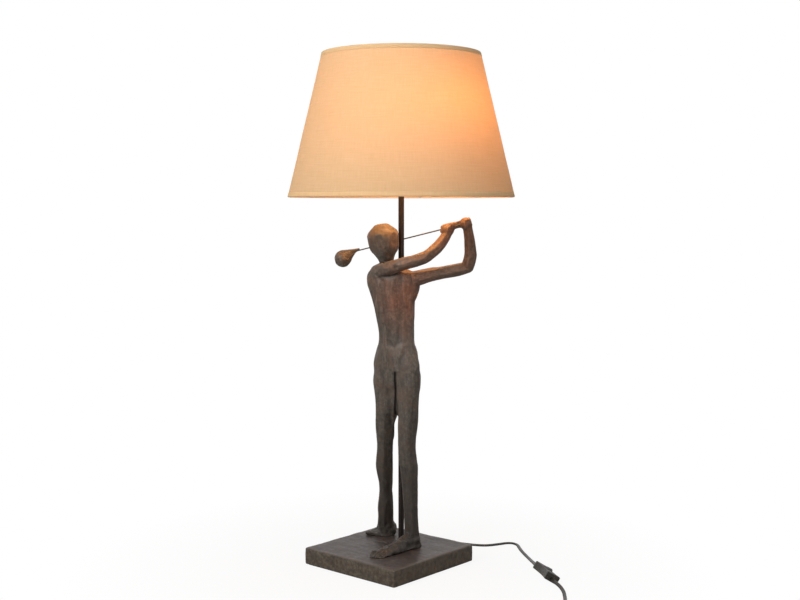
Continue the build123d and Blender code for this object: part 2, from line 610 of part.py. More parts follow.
# ---------------------------------------------------------------- all nodes
body, head, right_arm, left_arm = figure()
upper_shell, lower_shell = switch_shells()
nodes = {
    "base_plinth": plinth(), "base_felt": felt(), "pole_washer": pole_washer(), "pole_nut": pole_nut(),
    "pole_tube": pole(), "figure_body": body, "figure_head": head, "figure_right_arm": right_arm,
    "figure_left_arm": left_arm, "club_shaft": shaft(shaft_d / 2), "club_head": club(),
    "holder_cap": holder_cap(), "holder_skirt": holder_skirt(), "holder_core": holder_core(),
    "holder_contacts": holder_contacts(), "clamp_ring": clamp_ring(), "bulb_contact": bulb_contact(),
    "bulb_cap": bulb_cap(), "bulb_glass": bulb_glass(),
    "shade_fabric": shade_band(0, slope_len, 0, shade_t),
    "shade_hub": shade_hub(), "shade_arms": shade_arms(),
    "shade_bottom_ring": wire_ring(ring_wire_d / 2), "shade_top_ring": wire_ring(slope_len - ring_wire_d / 2),
    "shade_bottom_trim": rim_trim(0, 1), "shade_top_trim": rim_trim(slope_len, -1),
    "cord_relief": strain_relief(), "inner_cord": inner_cord(),
    "cord_lead": tube(lead_route, cord_d, "cord lead"), "cord_tail": tube(tail_route, cord_d, "cord tail"),
    "cord_coil": coil(), "cord_end": tube(end_route, cord_d, "cord end"),
    "switch_upper_shell": upper_shell, "switch_lower_shell": lower_shell, "switch_rocker": switch_rocker(),
    "switch_terminals": switch_terminals(), "switch_screws": switch_screws(),
    "plug_body": plug_body(), "plug_pins": plug_pins(),
}
for node, shape in nodes.items():
    save(shape, node)
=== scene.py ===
import math

import bmesh
import bpy
import numpy as np
from mathutils import Matrix, Vector, noise
from mathutils.bvhtree import BVHTree


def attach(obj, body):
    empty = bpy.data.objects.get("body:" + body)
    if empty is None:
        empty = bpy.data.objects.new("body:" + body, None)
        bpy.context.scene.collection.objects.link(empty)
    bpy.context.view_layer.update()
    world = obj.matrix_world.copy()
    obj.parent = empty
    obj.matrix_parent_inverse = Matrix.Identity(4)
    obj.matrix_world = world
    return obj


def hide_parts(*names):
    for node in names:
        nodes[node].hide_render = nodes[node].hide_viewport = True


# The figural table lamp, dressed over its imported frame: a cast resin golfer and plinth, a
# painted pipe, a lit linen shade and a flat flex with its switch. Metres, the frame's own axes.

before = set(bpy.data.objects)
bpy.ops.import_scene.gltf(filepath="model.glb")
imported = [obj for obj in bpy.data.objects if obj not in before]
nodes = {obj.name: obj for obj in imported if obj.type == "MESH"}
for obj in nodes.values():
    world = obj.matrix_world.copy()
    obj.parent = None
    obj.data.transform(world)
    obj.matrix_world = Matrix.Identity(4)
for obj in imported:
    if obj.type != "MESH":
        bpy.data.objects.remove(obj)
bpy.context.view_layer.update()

scene = bpy.context.scene
scene.view_settings.view_transform = "Standard"
MM = 0.001


# ------------------------------------------------------------------ small helpers
def mm(*values):
    return Vector(values) * MM


def linear(code):
    """sRGB hex colour as linear RGBA."""
    parts = [int(code[i:i + 2], 16) / 255 for i in (1, 3, 5)]
    return [p / 12.92 if p < 0.04045 else ((p + 0.055) / 1.055) ** 2.4 for p in parts] + [1.0]


def add(tree, kind, inputs=None, stops=None, **settings):
    """Adds a node. An input takes a value, the socket that feeds it or a node's first socket.

    stops are a ramp's places and colours.
    """
    node = tree.nodes.new(kind)
    for name, value in settings.items():
        setattr(node, name, value)
    for key, value in (inputs or {}).items():
        if isinstance(value, bpy.types.Node):
            value = value.outputs[0]
        if isinstance(value, bpy.types.NodeSocket):
            tree.links.new(value, node.inputs[key])
        else:
            node.inputs[key].default_value = value
    if stops:
        ramp = node.color_ramp
        while len(ramp.elements) < len(stops):
            ramp.elements.new(0.5)
        for element, (place, colour) in zip(ramp.elements, stops):
            element.position = place
            element.color = linear(colour) if isinstance(colour, str) else [colour] * 3 + [1.0]
    return node


def material(name):
    """A new material's node tree with only its output in it."""
    made = bpy.data.materials.new(name)
    made.use_nodes = True
    made.node_tree.nodes.clear()
    add(made.node_tree, "ShaderNodeOutputMaterial")
    return made, made.node_tree


def shade_with(tree, shader):
    output = next(n for n in tree.nodes if n.type == "OUTPUT_MATERIAL")
    tree.links.new(shader.outputs[0], output.inputs["Surface"])


def piece(name, mesh, finish, body="lamp", smooth=True):
    made = bpy.data.objects.new(name, mesh)
    scene.collection.objects.link(made)
    mesh.materials.clear()
    mesh.materials.append(finish)
    for face in mesh.polygons:
        face.use_smooth = smooth
    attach(made, body)
    return made


def from_bmesh(bm, name):
    mesh = bpy.data.meshes.new(name)
    bm.to_mesh(mesh)
    bm.free()
    return mesh


def evaluated(source, name):
    """What an object's modifiers make of it, as a plain mesh."""
    depsgraph = bpy.context.evaluated_depsgraph_get()
    mesh = bpy.data.meshes.new_from_object(source.evaluated_get(depsgraph))
    mesh.name = name
    return mesh


def discard(*things):
    for thing in things:
        bpy.data.objects.remove(thing)


# ------------------------------------------------------------------ camera
right = Vector((0.7511, 0.6602, 0))          # of the photograph, level
towards = Vector((0.6602, -0.7511, 0))       # from the lamp to the camera, level
camera_data = bpy.data.cameras.new("camera")
camera_down, camera_turn = math.radians(4.383), math.radians(41.32)
camera_data.lens = 54.96
camera_data.sensor_width = 36
camera = bpy.data.objects.new("camera", camera_data)
camera.location = (1.2386, -1.3837, 0.5512)
camera.rotation_euler = (math.pi / 2 - camera_down, 0, camera_turn)
scene.collection.objects.link(camera)
scene.camera = camera


# ------------------------------------------------------------------ materials
# Cast polyurethane resin, painted dark and rubbed back: matt with a faint waxy sheen, nearly black
# in the hollows, greyer and smoother on the ridges.
hollow_paint = "#15110e"
# The two tints below are painted warm lamplight, coppery on the arms and rosy on the chest.
painted_copper_glow = (1.6, 0.95, 0.62, 1)          # these two multiply the paint under them
painted_rosy_glow = (1.6, 1.0, 0.8, 1)
chest_middle = mm(23, 10, 410)
legs_top = 0.25


def figure_tints_and_glow(tree, place, paint):
    """The figure's colour by place: coppery on the arms and rosy on the chest, both painted warm
    lamplight, and darker down the legs.
    """
    height = add(tree, "ShaderNodeSeparateXYZ", {0: place}).outputs["Z"]
    # Painted warm lamplight: a coppery tint high up on the figure's right side, where its arms are.
    upper = add(tree, "ShaderNodeMapRange", {"Value": height, "From Min": 0.38, "From Max": 0.53,
                                             "To Max": 0.8})
    side = add(tree, "ShaderNodeVectorMath", {0: place, 1: right}, operation="DOT_PRODUCT")
    beside = add(tree, "ShaderNodeMapRange", {"Value": side.outputs["Value"], "From Min": -0.005,
                                              "From Max": 0.06})
    arms = add(tree, "ShaderNodeMath", {0: upper, 1: beside}, operation="MULTIPLY")
    coppery = add(tree, "ShaderNodeMixRGB", {"Fac": arms, "Color1": paint, "Color2": painted_copper_glow},
                  blend_type="MULTIPLY")
    # Painted warm lamplight: a rosy tint round the middle of the chest.
    away = add(tree, "ShaderNodeVectorMath", {0: place, 1: chest_middle}, operation="DISTANCE")
    chest = add(tree, "ShaderNodeMapRange", {"Value": away.outputs["Value"], "From Min": 0.02,
                                             "From Max": 0.065, "To Min": 1.0, "To Max": 0.0})
    rosy = add(tree, "ShaderNodeMixRGB", {"Fac": chest, "Color1": coppery,
                                          "Color2": painted_rosy_glow}, blend_type="MULTIPLY")
    up_the_legs = add(tree, "ShaderNodeMapRange", {"Value": height, "From Max": legs_top})
    darker = add(tree, "ShaderNodeValToRGB", {"Fac": up_the_legs},
                 stops=[(0.13, 0.5), (0.24, 0.42), (0.45, 0.46), (1.0, 1.0)])
    return add(tree, "ShaderNodeMixRGB", {"Fac": 1.0, "Color1": rosy, "Color2": darker},
               blend_type="MULTIPLY")


def plinth_wash(tree, mottle, paint):
    """The plinth's paint on its level top, and a plainer olive one down its sides."""
    normal = add(tree, "ShaderNodeNewGeometry").outputs["Normal"]
    facing = add(tree, "ShaderNodeSeparateXYZ", {0: normal}).outputs["Z"]
    level = add(tree, "ShaderNodeMapRange", {"Value": facing, "From Min": 0.55, "From Max": 0.85})
    olive = add(tree, "ShaderNodeValToRGB", {"Fac": mottle},
                stops=[(0.36, "#363029"), (0.52, "#48423a"), (0.68, "#5a5345")])
    return add(tree, "ShaderNodeMixRGB", {"Fac": level, "Color1": olive, "Color2": paint})


def cast_resin(name, dark, mid, pale, warm, carved, sheen):
    """Has tool marks along the limbs if carved, or else brush strokes of 42 by 9 mm."""
    made, tree = material(name)
    place = add(tree, "ShaderNodeTexCoord").outputs["Object"]
    if carved:
        grain = add(tree, "ShaderNodeAttribute", attribute_name="grain").outputs["Vector"]
    else:
        strokes = (1000 / 42, 1000 / 9, 1000 / 9)
        grain = add(tree, "ShaderNodeMapping", {"Vector": place, "Scale": strokes})
    streak = add(tree, "ShaderNodeTexNoise", {"Vector": grain, "Scale": 1.0, "Detail": 4.0,
                                              "Roughness": 0.6,
                                              "Distortion": 0.5 if carved else 1.6})
    blotch = add(tree, "ShaderNodeTexNoise", {"Vector": place, "Scale": 1000 / 24, "Detail": 4.0})
    mottle = add(tree, "ShaderNodeTexNoise", {"Vector": place, "Scale": 1000 / 5, "Detail": 4.0,
                                              "Roughness": 0.65})
    grit = add(tree, "ShaderNodeTexNoise", {"Vector": place, "Scale": 1000 / 1.6, "Detail": 3.0,
                                            "Roughness": 0.7})
    mix = add(tree, "ShaderNodeMixRGB", {"Fac": 0.62, "Color1": streak, "Color2": mottle})
    base = add(tree, "ShaderNodeValToRGB", {"Fac": mix},
               stops=[(0.34, dark), (0.52, mid), (0.70, pale)])
    tinted = add(tree, "ShaderNodeValToRGB", {"Fac": blotch}, stops=[(0.45, 0.0), (0.68, 0.55)])
    both = add(tree, "ShaderNodeMixRGB", {"Fac": tinted, "Color1": base, "Color2": linear(warm)})
    rub = add(tree, "ShaderNodeAttribute", attribute_name="rub").outputs["Fac"]
    hollow = add(tree, "ShaderNodeMapRange", {"Value": rub, "From Min": -0.25, "From Max": -1.2,
                                              "To Max": 0.85})
    ridge = add(tree, "ShaderNodeMapRange", {"Value": rub, "From Min": 0.1, "From Max": 1.2,
                                             "To Max": 0.5})
    washed = add(tree, "ShaderNodeMixRGB", {"Fac": hollow, "Color1": both,
                                            "Color2": linear(hollow_paint)})
    rubbed = add(tree, "ShaderNodeMixRGB", {"Fac": ridge, "Color1": washed,
                                            "Color2": linear(pale)})
    # For the figure this colour holds painted warm lamplight on its arms and chest.
    paint = figure_tints_and_glow(tree, place, rubbed) if carved else plinth_wash(tree, mottle, rubbed)
    speck = add(tree, "ShaderNodeValToRGB", {"Fac": grit}, stops=[(0.62, 0.0), (0.76, 0.45)])
    colour = add(tree, "ShaderNodeMixRGB", {"Fac": speck, "Color1": paint,
                                            "Color2": linear(pale)})
    rough = add(tree, "ShaderNodeMapRange", {"Value": mottle, "From Min": 0.3, "From Max": 0.7,
                                             "To Min": sheen, "To Max": sheen + 0.22})
    marks = add(tree, "ShaderNodeBump", {"Height": mix, "Strength": 0.4, "Distance": 0.8 * MM})
    bump = add(tree, "ShaderNodeBump", {"Height": grit, "Strength": 0.25, "Distance": 0.3 * MM,
                                        "Normal": marks})
    shade_with(tree, add(tree, "ShaderNodeBsdfPrincipled", {
        "Base Color": colour, "Roughness": rough, "Specular IOR Level": 0.3,
        "Normal": bump}))
    return made


carved_resin = cast_resin("cast_resin_carved", "#35302a", "#4c4640", "#666057", "#58463a",
                          carved=True, sheen=0.36)
# The plinth is browner, nearly black in the brush strokes and a little shinier on top.
brushed_resin = cast_resin("cast_resin_brushed", "#1a1614", "#352e2b", "#5b524a", "#362d2c",
                           carved=False, sheen=0.34)

cloud_grains = 12            # width of a hard finish's clouds, in grains
polish_swing = 0.07          # how far its roughness goes up and down


def worn(name, dark, pale, rough, metallic, grain_mm, bump_mm, specular=0.5, stretch=(1, 1, 1),
         coat=0.0):
    """A hard finish with a soft change of shade and of polish over its grain."""
    made, tree = material(name)
    place = add(tree, "ShaderNodeTexCoord").outputs["Object"]
    along = add(tree, "ShaderNodeMapping", {"Vector": place, "Scale": stretch})
    grain = add(tree, "ShaderNodeTexNoise", {"Vector": along, "Scale": 1000 / grain_mm,
                                             "Detail": 4.0})
    cloud_mm = cloud_grains * grain_mm
    cloud = add(tree, "ShaderNodeTexNoise", {"Vector": place, "Scale": 1000 / cloud_mm,
                                             "Detail": 2.0})
    both = add(tree, "ShaderNodeMath", {0: grain, 1: cloud}, operation="ADD")
    mean = add(tree, "ShaderNodeMath", {0: both, 1: 0.5}, operation="MULTIPLY")
    colour = add(tree, "ShaderNodeValToRGB", {"Fac": mean}, stops=[(0.35, dark), (0.65, pale)])
    polish = add(tree, "ShaderNodeMapRange", {"Value": cloud, "From Min": 0.3, "From Max": 0.7,
                                              "To Min": rough - polish_swing,
                                              "To Max": rough + polish_swing})
    bump = add(tree, "ShaderNodeBump", {"Height": grain, "Strength": 0.3, "Distance": bump_mm * MM})
    shade_with(tree, add(tree, "ShaderNodeBsdfPrincipled", {
        "Base Color": colour, "Roughness": polish, "Metallic": metallic,
        "Specular IOR Level": specular, "Coat Weight": coat, "Normal": bump}))
    return made


# After its two colours each has its roughness, metallic, and grain size and height in mm.
# Steel pipe, sprayed satin brown-black: a soft long highlight, faint orange peel.
painted_pipe = worn("painted_steel_pipe", "#130e0c", "#1e1613", 0.45, 0.0, 0.9, 0.05, specular=0.25,
                    stretch=(1, 1, 0.4))
# Hard drawn steel wire, oiled grey: thin bright line with a dull grain.
drawn_wire = worn("drawn_steel_wire", "#4a4744", "#66625d", 0.42, 1.0, 0.4, 0.02)
# Zinc plated steel, nuts and screws: pale blue-grey with a soft shine.
zinc_steel = worn("zinc_plated_steel", "#9a9c9e", "#b9bbbd", 0.34, 1.0, 1.5, 0.02)
# Brass, turned and bare: warm yellow, clear highlights.
yellow_brass = worn("turned_brass", "#b08d4c", "#c9a765", 0.3, 1.0, 1.2, 0.02)
# Brass under nickel: pale warm grey, the shiniest metal here.
nickel_brass = worn("nickel_plated_brass", "#b3b0a8", "#cac8c0", 0.24, 1.0, 1.2, 0.02)
# Phenolic moulding: near black, glossy, with a soft edge to its shine.
black_phenolic = worn("moulded_phenolic", "#15130f", "#1f1c19", 0.3, 0.0, 2.0, 0.03)
# Porcelain with a clear glaze: off-white, wet-looking.
glazed_porcelain = worn("glazed_porcelain", "#dcd8cc", "#e8e5db", 0.2, 0.0, 3.0, 0.02)
# ABS of the inline switch: near black with a fine spark-eroded texture, so greyish and soft.
spark_abs = worn("spark_textured_abs", "#24231f", "#33312d", 0.46, 0.0, 0.5, 0.04)
# ABS of the rocker, from a polished mould: blacker than its shells, with a sharp highlight.
gloss_abs = worn("gloss_abs", "#0e0d0c", "#171614", 0.24, 0.0, 1.0, 0.01)
# Soft PVC of the flex, plug and sleeve: dark, slightly greasy shine.
black_pvc = worn("soft_pvc", "#181716", "#262422", 0.4, 0.0, 0.8, 0.03)
# Stove enamel on the shade's wire carrier: creamy white, softly glossy.
white_enamel = worn("white_stove_enamel", "#d9d4c8", "#e6e2d8", 0.35, 0.0, 2.0, 0.03)
# Wool felt under the plinth: dark, fibrous, no shine.
wool_felt = worn("wool_felt", "#24221f", "#3b3833", 0.93, 0.0, 0.7, 0.4, specular=0.1)


# Linen on a stiff lining, lit from within: warm oatmeal yarn, slubs along the weft, finer warp.
# The thread is 0.5 mm; the weave is drawn at 1.1 mm, because the true one is too fine to show.
threads, slubs = 900, 520                        # per metre, across the yarn
weft_rate, slub_rate, warp_rate = 22, 28, 30     # per metre, along it
light_through = 0.16


def linen(name, pale, deep, glow):
    made, tree = material(name)
    cloth = add(tree, "ShaderNodeUVMap", uv_map="cloth")
    weft_place = add(tree, "ShaderNodeMapping", {"Vector": cloth, "Scale": (weft_rate, threads, 1)})
    slub_place = add(tree, "ShaderNodeMapping", {"Vector": cloth, "Scale": (slub_rate, slubs, 1)})
    warp_place = add(tree, "ShaderNodeMapping", {"Vector": cloth, "Scale": (threads, warp_rate, 1)})
    weft = add(tree, "ShaderNodeTexNoise", {"Vector": weft_place, "Scale": 1.0, "Detail": 2.0})
    slub = add(tree, "ShaderNodeTexNoise", {"Vector": slub_place, "Scale": 1.0, "Detail": 3.0,
                                            "Roughness": 0.6})
    warp = add(tree, "ShaderNodeTexNoise", {"Vector": warp_place, "Scale": 1.0, "Detail": 2.0})
    across = add(tree, "ShaderNodeMath", {0: weft, 1: warp}, operation="ADD")
    weave = add(tree, "ShaderNodeMath", {0: across, 1: slub}, operation="ADD")
    share = add(tree, "ShaderNodeMapRange", {"Value": weave, "From Min": 0.9, "From Max": 2.1})
    colour = add(tree, "ShaderNodeMixRGB",
                 {"Fac": share, "Color1": linear(deep), "Color2": linear(pale)})
    lit = add(tree, "ShaderNodeMixRGB", {"Fac": 1.0, "Color1": colour, "Color2": linear(glow)},
              blend_type="MULTIPLY")
    bump = add(tree, "ShaderNodeBump", {"Height": weave, "Strength": 0.4, "Distance": 0.4 * MM})
    front = add(tree, "ShaderNodeBsdfPrincipled", {"Base Color": colour, "Roughness": 0.85,
                                                   "Specular IOR Level": 0.15, "Normal": bump})
    through = add(tree, "ShaderNodeBsdfTranslucent", {"Color": lit})
    shade_with(tree, add(tree, "ShaderNodeMixShader", {0: light_through, 1: front,
                                                       2: through}))
    return made


# The shade's cloth is paler; the tape on its rims is warmer, with the lamp's glow painted into it,
# because no light comes through it.
shade_linen = linen("woven_linen_on_lining", "#cdba97", "#bda680", "#ffd6a0")
glow_tinted_tape = linen("folded_linen_tape", "#f0cd9c", "#dbb485", "#ffe0b0")


# Opal glass bulb, lit: milky warm white, smooth, a clear hard highlight.
def opal_glass():
    made, tree = material("opal_glass")
    place = add(tree, "ShaderNodeTexCoord").outputs["Object"]
    cloud = add(tree, "ShaderNodeTexNoise", {"Vector": place, "Scale": 1000 / 18, "Detail": 2.0})
    colour = add(tree, "ShaderNodeValToRGB", {"Fac": cloud},
                 stops=[(0.3, "#efe6d4"), (0.7, "#fbf4e6")])
    rough = add(tree, "ShaderNodeMapRange", {"Value": cloud, "To Min": 0.1, "To Max": 0.22})
    shade_with(tree, add(tree, "ShaderNodeBsdfPrincipled", {
        "Base Color": colour, "Roughness": rough, "Subsurface Weight": 0.15,
        "Subsurface Scale": 4 * MM, "Emission Color": linear("#ffcf9a"), "Emission Strength": 1.5}))
    return made


milk_glass = opal_glass()

# ------------------------------------------------------------------ flat flex
# All in mm. Two cores side by side, moulded together, then each route's control points.
core_r = 1.7
core_out = 1.0
lead_route = [  # x, y, z and the turn of the flat side: 90 lies flat, 0 stands on edge
    (-14.0, 112.5, 7.0, 90), (-14.0, 121.0, 7.0, 90), (-10.5, 134.0, 4.4, 90),
    (1.0, 147.0, 1.9, 90), (19.0, 155.0, 1.8, 90), (40.0, 161.0, 1.8, 90), (58.0, 171.5, 1.8, 90),
    (67.5, 190.0, 1.8, 90), (76.0, 210.0, 2.0, 78), (91.5, 210.5, 2.0, 78), (107.0, 195.0, 1.8, 90),
    (124.0, 179.8, 1.8, 90), (142.0, 165.5, 1.8, 90), (160.0, 149.5, 3.3, 90),
    (179.0, 131.5, 6.2, 100), (198.7, 113.5, 8.63, 121.6), (212.3, 103.3, 8.63, 121.6)]
tail_route = [
    (248.3, 76.3, 8.63, 121.6), (258.7, 68.4, 8.63, 121.6), (274.0, 61.5, 6.6, 112),
    (288.0, 51.0, 4.0, 95), (299.0, 37.5, 2.2, 90), (308.5, 24.5, 1.8, 90), (318.0, 9.5, 2.0, 75),
    (328.5, -7.5, 2.5, 35)]
coil_turned = math.radians(35)
coil_line = Vector((math.cos(coil_turned), math.sin(coil_turned), 0))
coil_way = Vector((coil_line.y, -coil_line.x, 0))
coil_middle = Vector((389.5, -14.5, 2.7))
coil_pitch = 6.0
coil_rings = [37.5, 34.5, 31.5, 28.5, 25.5, 22.5]     # of the lower layer's half turns
coil_start = 40.5            # from the coil's middle to where the cord runs in
run_in, run_out = 19.4, 16.2  # how far before and after the coil its outer points are
coil_straight = 5.4
points_per_half = 12
plug_rear = Vector((404.5, -77.5, 6.85))
plug_way = Vector((0.87, -0.49, 0)).normalized()
plug_lead, plug_depth = 16, 4  # the cord's straight run to the plug, and how far it goes in


def coil_route():
    """Half turns that spiral in, climb in the tightest one and spiral out on top."""
    here = coil_middle - coil_line * coil_start
    route = [(*(here - coil_way * run_in), 5), (*(here - coil_way * coil_straight), 0)]
    side = 1
    radii = coil_rings + [r + coil_pitch / 2 for r in reversed(coil_rings)]
    for turn, r in enumerate(radii):
        climb = coil_pitch if turn == len(coil_rings) - 1 else 0
        centre = here + coil_line * r * side
        for k in range(points_per_half):
            angle = math.pi * (k + 0.5) / points_per_half
            # The NURBS line cuts its corners, so they stand out a little.
            grown = r / math.cos(math.pi / points_per_half / 2) ** 0.5
            spot = (centre - coil_line * side * grown * math.cos(angle)
                    + coil_way * side * grown * math.sin(angle))
            spot.z += climb * (k + 0.5) / points_per_half
            route.append((*spot, 0))
        here = here + coil_line * 2 * r * side + Vector((0, 0, climb))
        side = -side
    route += [(*(here + coil_way * coil_straight), 0), (*(here + coil_way * run_out), 20)]
    return route + [(*(plug_rear - plug_way * plug_lead), 70),
                    (*(plug_rear + plug_way * plug_depth), 90)]


def spline_object(name, route):
    data = bpy.data.curves.new(name, "CURVE")
    data.dimensions = "3D"
    data.twist_mode = "Z_UP"
    data.resolution_u = 5
    line = data.splines.new("NURBS")
    line.points.add(len(route) - 1)
    for point, (x, y, z, turn) in zip(line.points, route):
        point.co = (x * MM, y * MM, z * MM, 1)
        point.tilt = math.radians(turn)
    line.order_u = 3
    line.use_endpoint_u = True
    made = bpy.data.objects.new(name, data)
    scene.collection.objects.link(made)
    return made


def flex_tree():
    """Sweeps the outline of two moulded-together cores along the cord's line."""
    tree = bpy.data.node_groups.new("two_core_flex", "GeometryNodeTree")
    for label, kind in (("Line", "Geometry"), ("Core radius", "Float"), ("Core offset", "Float"),
                        ("Finish", "Material")):
        tree.interface.new_socket(label, in_out="INPUT", socket_type=f"NodeSocket{kind}")
    tree.interface.new_socket("Flex", in_out="OUTPUT", socket_type="NodeSocketGeometry")
    given = add(tree, "NodeGroupInput").outputs
    circle = add(tree, "GeometryNodeCurvePrimitiveCircle", {"Resolution": 20, "Radius": 1.0})
    spot = add(tree, "GeometryNodeInputPosition")
    place = add(tree, "ShaderNodeSeparateXYZ", {0: spot}).outputs
    # Distance to the outline along each spoke: a|cos| + sqrt(r2 - a2 sin2).
    beside = add(tree, "ShaderNodeMath", {0: place["Y"]}, operation="ABSOLUTE")
    sides = add(tree, "ShaderNodeMath", {0: beside, 1: given["Core offset"]},
                operation="MULTIPLY")
    rise = add(tree, "ShaderNodeMath", {0: place["X"], 1: given["Core offset"]},
               operation="MULTIPLY")
    rise2 = add(tree, "ShaderNodeMath", {0: rise, 1: 2.0}, operation="POWER")
    radius2 = add(tree, "ShaderNodeMath", {0: given["Core radius"], 1: 2.0}, operation="POWER")
    gap = add(tree, "ShaderNodeMath", {0: radius2, 1: rise2}, operation="SUBTRACT")
    reach = add(tree, "ShaderNodeMath", {0: gap, 1: 0.5}, operation="POWER")
    spoke = add(tree, "ShaderNodeMath", {0: sides, 1: reach}, operation="ADD")
    moved = add(tree, "ShaderNodeVectorMath", {0: spot, "Scale": spoke}, operation="SCALE")
    outline = add(tree, "GeometryNodeSetPosition", {"Geometry": circle, "Position": moved})
    swept = add(tree, "GeometryNodeCurveToMesh", {"Curve": given["Line"], "Profile Curve": outline,
                                                  "Fill Caps": True})
    finish = add(tree, "GeometryNodeSetMaterial", {"Geometry": swept, "Material": given["Finish"]})
    real = add(tree, "GeometryNodeRealizeInstances", {0: finish})
    add(tree, "NodeGroupOutput", {0: real})
    return tree


def with_tree(source, tree, values, name):
    """A plain mesh of what a node tree makes of an object, its inputs given by name."""
    modifier = source.modifiers.new(tree.name, "NODES")
    modifier.node_group = tree
    for item in tree.interface.items_tree:
        if item.in_out == "INPUT" and item.name in values:
            modifier[item.identifier] = values[item.name]
    mesh = evaluated(source, name)
    source.modifiers.remove(modifier)
    return mesh


two_core = flex_tree()


def flex(name, route, replaced):
    """A cord piece along its route, which starts where the cord comes out."""
    line = spline_object(name + "_line", route)
    bare = evaluated(line, name + "_path")
    mesh = with_tree(line, two_core, {"Core radius": core_r * MM, "Core offset": core_out * MM,
                                      "Finish": black_pvc}, name)
    discard(line)
    made = piece(name, mesh, black_pvc)
    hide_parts(*replaced)


flex("flex_lead", lead_route, ["cord_lead"])
flex("flex_tail", tail_route + coil_route(), ["cord_tail", "cord_coil", "cord_end"])

# ------------------------------------------------------------------ carved figure
# Spines of the figure: the carver's planes and tool marks run along these.
spines = {
    "trunk": [(-6.5, 25, 236), (-6.5, 25, 300), (-8, 23, 376), (-10.5, 22, 438), (-18, 18, 462)],
    "left_leg": [(17.5, 27, 282), (17.7, 23.7, 222), (21, 20.3, 155), (27.4, 18.8, 85),
                 (31, 19, 45)],
    "right_leg": [(-30.1, 25.2, 282), (-31.5, 26.6, 226), (-38.4, 32.8, 156), (-42.7, 39.6, 100),
                  (-48.4, 45.5, 45)],
    "left_foot": [(31, 33, 34), (25, -63, 29)],
    "right_foot": [(-38, 52, 34), (-74, 30, 29)],
    "right_arm": [(-36, 9.5, 444), (-12, 6.4, 455.5), (15.1, 8, 463.1), (35.6, 16.7, 469.2),
                  (51, 28.9, 477), (59.8, 41.9, 489.2), (65.6, 57.6, 512)],
    "left_upper_arm": [(18, 34, 439), (51.7, 60.4, 450), (84, 84.8, 459.5)],
    "left_forearm": [(84, 84.8, 459.5), (91.3, 84, 482), (93.1, 79.2, 500.3), (94.2, 72.2, 524)],
    "grip": [(57.5, 56, 514.5), (86, 67.5, 524.5)],
    "head": [(-19.5, 16.5, 470), (-26.3, 11.2, 525)],
    "club": [(-100, 39.1, 483), (-109.3, 30.5, 476.6), (-118.7, 22.2, 467.9)],
}
# How far the skin stands off a thick part's spine, so that a thin part's doesn't win there.
spine_bulk = {"trunk": 22, "head": 14}
# Flat planes round each limb, and where the ridge between two of them lies: degrees to the right
# of the side that faces the photograph, or over the upper side of the arms.
limb_planes = {"trunk": (7, -8), "left_leg": (5, 12), "right_leg": (5, -14), "right_arm": (5, 20),
               "left_upper_arm": (5, 10), "left_forearm": (5, -12), "head": (6, 8)}
plane_w, plane_l = 13.0, 36.0
plane_step = 38              # from one plane to the next along a limb
plane_cant = 9               # degrees, how far the planes of one limb are turned
shift_along, shift_round = 0.18, 2           # of each plane, in steps and in degrees
upward = 0.9                 # how far the arms' planes face up rather than to the photograph
out_share = 1.6              # of the way out from the spine in a plane's direction
turn_cost = 1.2              # what a turn of the skin adds to its distance from a plane
plane_gap = 1.3              # planes start at least this far apart
plane_blend = 0.13           # how softly a plane runs into the next
batch = 4000
mark_w, mark_l, mark_depth = 2.6, 26, 0.12   # of the gouge's fine marks
lump_size, lump_seed = 9, Vector((7, 3, 1))
foot_lumps, limb_lumps = 2.2, 0.16           # their height below and above the top of the feet
feet_top = 44


def welded(names):
    """One closed mesh of several CAD nodes' copies, their loose triangles joined."""
    bm = bmesh.new()
    for name in names:
        bm.from_mesh(nodes[name].data)
    bmesh.ops.remove_doubles(bm, verts=bm.verts, dist=1e-6)
    return bm


def remeshed(bm, name, voxel):
    """The outer skin of the solids, in even small faces."""
    source = bpy.data.objects.new(name, from_bmesh(bm, name + "_rough"))
    scene.collection.objects.link(source)
    skin = source.modifiers.new("skin", "REMESH")
    skin.mode = "VOXEL"
    skin.voxel_size = voxel * MM
    soften = source.modifiers.new("soften", "SMOOTH")
    soften.factor = 0.5
    soften.iterations = 3
    mesh = evaluated(source, name)
    discard(source)
    return mesh


def softened(mesh, places, reach, rounds):
    """Blends the joins near some points (mm), as hand finishing does, by even smoothing."""
    source = bpy.data.objects.new("softened", mesh)
    scene.collection.objects.link(source)
    near = source.vertex_groups.new(name="near")
    for vert in mesh.vertices:
        away = min((vert.co / MM - Vector(p)).length for p in places) / reach
        if away < 1:
            near.add([vert.index], 1 - away ** 2, "REPLACE")
    soften = source.modifiers.new("soften", "SMOOTH")
    soften.factor = 0.5
    soften.iterations = rounds
    soften.vertex_group = "near"
    smooth = evaluated(source, mesh.name + "_soft")
    spots, _ = read_points(smooth)
    discard(source)
    bpy.data.meshes.remove(smooth)
    write_points(mesh, spots)


def read_points(mesh):
    spots = np.empty(len(mesh.vertices) * 3)
    normals = np.empty(len(mesh.vertices) * 3)
    mesh.vertices.foreach_get("co", spots)
    mesh.vertices.foreach_get("normal", normals)
    return spots.reshape(-1, 3) / MM, normals.reshape(-1, 3)


def write_points(mesh, spots):
    mesh.vertices.foreach_set("co", (spots * MM).ravel())
    mesh.update()


def grain_of(spots, used):
    """Direction of the nearest spine's run at each point."""
    best = np.full(len(spots), 1e9)
    way = np.zeros_like(spots)
    for name in used:
        for a, b in zip(spines[name], spines[name][1:]):
            a, b = np.array(a, float), np.array(b, float)
            run = b - a
            share = np.clip((spots - a) @ run / (run @ run), 0, 1)
            away = np.linalg.norm(spots - a - share[:, None] * run, axis=1)
            away -= spine_bulk.get(name, 0)
            near = away < best
            best[near] = away[near]
            way[near] = run / np.linalg.norm(run)
    return way


